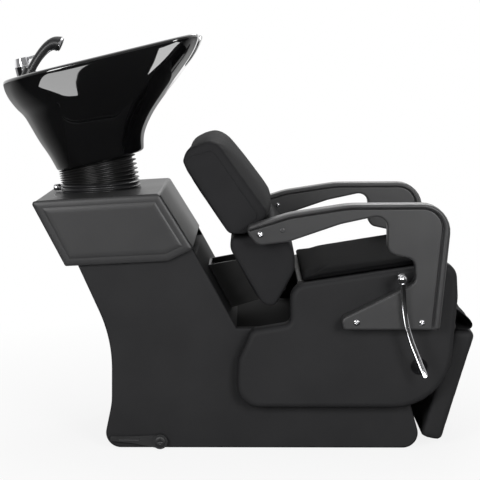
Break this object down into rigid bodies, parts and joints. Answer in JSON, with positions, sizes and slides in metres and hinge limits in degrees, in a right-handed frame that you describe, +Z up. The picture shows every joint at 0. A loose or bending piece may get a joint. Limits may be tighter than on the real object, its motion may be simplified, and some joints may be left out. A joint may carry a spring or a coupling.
{
  "type": "salon backwash unit",
  "caption": "Free-standing hair-wash chair with a tilting ceramic bowl on a padded column, armrests and a lever-raised leg rest.",
  "frame": {"origin": "centre of the base's footprint on the floor", "axes": "+X towards the foot end, +Y towards the sitter's left, +Z up"},
  "size_m": [1.1431, 0.659, 0.9896],
  "materials": {
    "upholstery": "matte vinyl over board",
    "cushion": "matte vinyl over foam",
    "head_vinyl": "satin vinyl",
    "board": "raw plywood",
    "glides": "moulded",
    "ceramic": "gloss black glaze",
    "arm_lacquer": "satin polyurethane",
    "chrome": "polished",
    "black_steel": "powder coat",
    "zinc_steel": "zinc plated",
    "black_plastic": "moulded",
    "soft_rubber": "satin",
    "pipe_plastic": "moulded",
    "brass": "machined"
  },
  "bodies": {
    "base": {"right_side_panel": "upholstery", "left_side_panel": "upholstery", "rear_cover": "upholstery", "right_seat_panel": "upholstery", "left_seat_panel": "upholstery", "toe_board": "upholstery", "column_front_board": "upholstery", "seat_deck": "upholstery", "seat_cushion": "cushion", "seat_front_roll": "cushion", "back_cushion": "cushion", "lumbar_cushion": "cushion", "leg_rest_flap": "cushion", "head_box": "head_vinyl", "floor_rails": "board", "service_shelf": "board", "seat_board": "board", "seat_front_rail": "board", "back_board": "board", "floor_glides": "glides", "right_armrest": "arm_lacquer", "left_armrest": "arm_lacquer", "armrest_screws": "chrome", "back_bracket": "black_steel", "tilt_base": "black_steel", "mechanism_plates": "black_steel", "tilt_pins": "zinc_steel", "hinge_shaft": "zinc_steel", "front_tie_rod": "zinc_steel", "collar_ring": "black_plastic", "tie_rod_caps": "black_plastic", "armrest_spacers": "black_plastic", "bellows": "soft_rubber", "waste_hose": "soft_rubber", "waste_outlet": "pipe_plastic", "stop_valve_body": "brass", "hot_elbow": "brass", "cold_riser": "brass", "hot_riser": "brass"},
    "bowl_unit": {"bowl": "ceramic", "waste_fitting": "chrome", "waste_nut": "pipe_plastic", "neck_rest": "soft_rubber", "mixer_body": "chrome", "handset_socket": "black_plastic", "tilt_cradle": "black_steel"},
    "tap_cap": {"mixer_cap": "chrome"},
    "tap_lever": {"mixer_lever": "chrome"},
    "hand_shower": {"handset": "black_plastic", "handset_face": "chrome"},
    "lock_screw": {"tilt_lock_screw": "chrome"},
    "valve_lever": {"stop_valve_lever": "black_plastic"},
    "side_lever": {"cross_shaft": "chrome", "shaft_cranks": "black_steel", "lever_bar": "chrome", "lever_hub": "chrome"},
    "links": {"push_links": "black_steel"},
    "leg_rest": {"leg_rest_board": "board", "leg_rest_pad": "cushion", "leg_rest_brackets": "black_steel"}
  },
  "joints": [
    {"name": "bowl_tilt", "type": "hinge", "parent": "base", "child": "bowl_unit", "pos_m": [-0.40397, 0, 0.63943], "axis": [0, 1, 0], "range_deg": [-4, 16], "deforming": ["bellows", "waste_hose"]},
    {"name": "mixer_turn", "type": "hinge", "parent": "bowl_unit", "child": "tap_cap", "pos_m": [-0.59874, 0.046, 0.91097], "axis": [-0.2334, 0, 0.9724], "range_deg": [-40, 40]},
    {"name": "mixer_lift", "type": "hinge", "parent": "tap_cap", "child": "tap_lever", "pos_m": [-0.60881, 0.046, 0.92295], "axis": [0, -1, 0], "range_deg": [0, 22]},
    {"name": "handset_lift", "type": "slide", "parent": "bowl_unit", "child": "hand_shower", "axis": [0.3827, 0, 0.9239], "range_m": [0, 0.06]},
    {"name": "lock_turn", "type": "hinge", "parent": "base", "child": "lock_screw", "pos_m": [-0.50248, 0, 0.61151], "axis": [-0.9982, 0, -0.0597], "range_deg": [-180, 180]},
    {"name": "valve_turn", "type": "hinge", "parent": "base", "child": "valve_lever", "pos_m": [-0.245, 0, 0.021], "axis": [0, 1, 0], "range_deg": [0, 90]},
    {"name": "leg_rest_lift", "type": "hinge", "parent": "base", "child": "leg_rest", "pos_m": [0.44603, 0, 0.3], "axis": [0, -1, 0], "range_deg": [0, 80], "deforming": ["leg_rest_flap"]},
    {"name": "lever_swing", "type": "hinge", "parent": "base", "child": "side_lever", "pos_m": [0.31701, 0, 0.43001], "axis": [0, -1, 0], "range_deg": [0, 80]},
    {"name": "link_turn", "type": "hinge", "parent": "side_lever", "child": "links", "pos_m": [0.26937, 0, 0.40251], "axis": [0, -1, 0], "range_deg": [-80, 0]}
  ],
  "couplings": [
    {"joint": "lever_swing", "follows": "leg_rest_lift", "ratio": 1},
    {"joint": "link_turn", "follows": "leg_rest_lift", "ratio": -1}
  ]
}
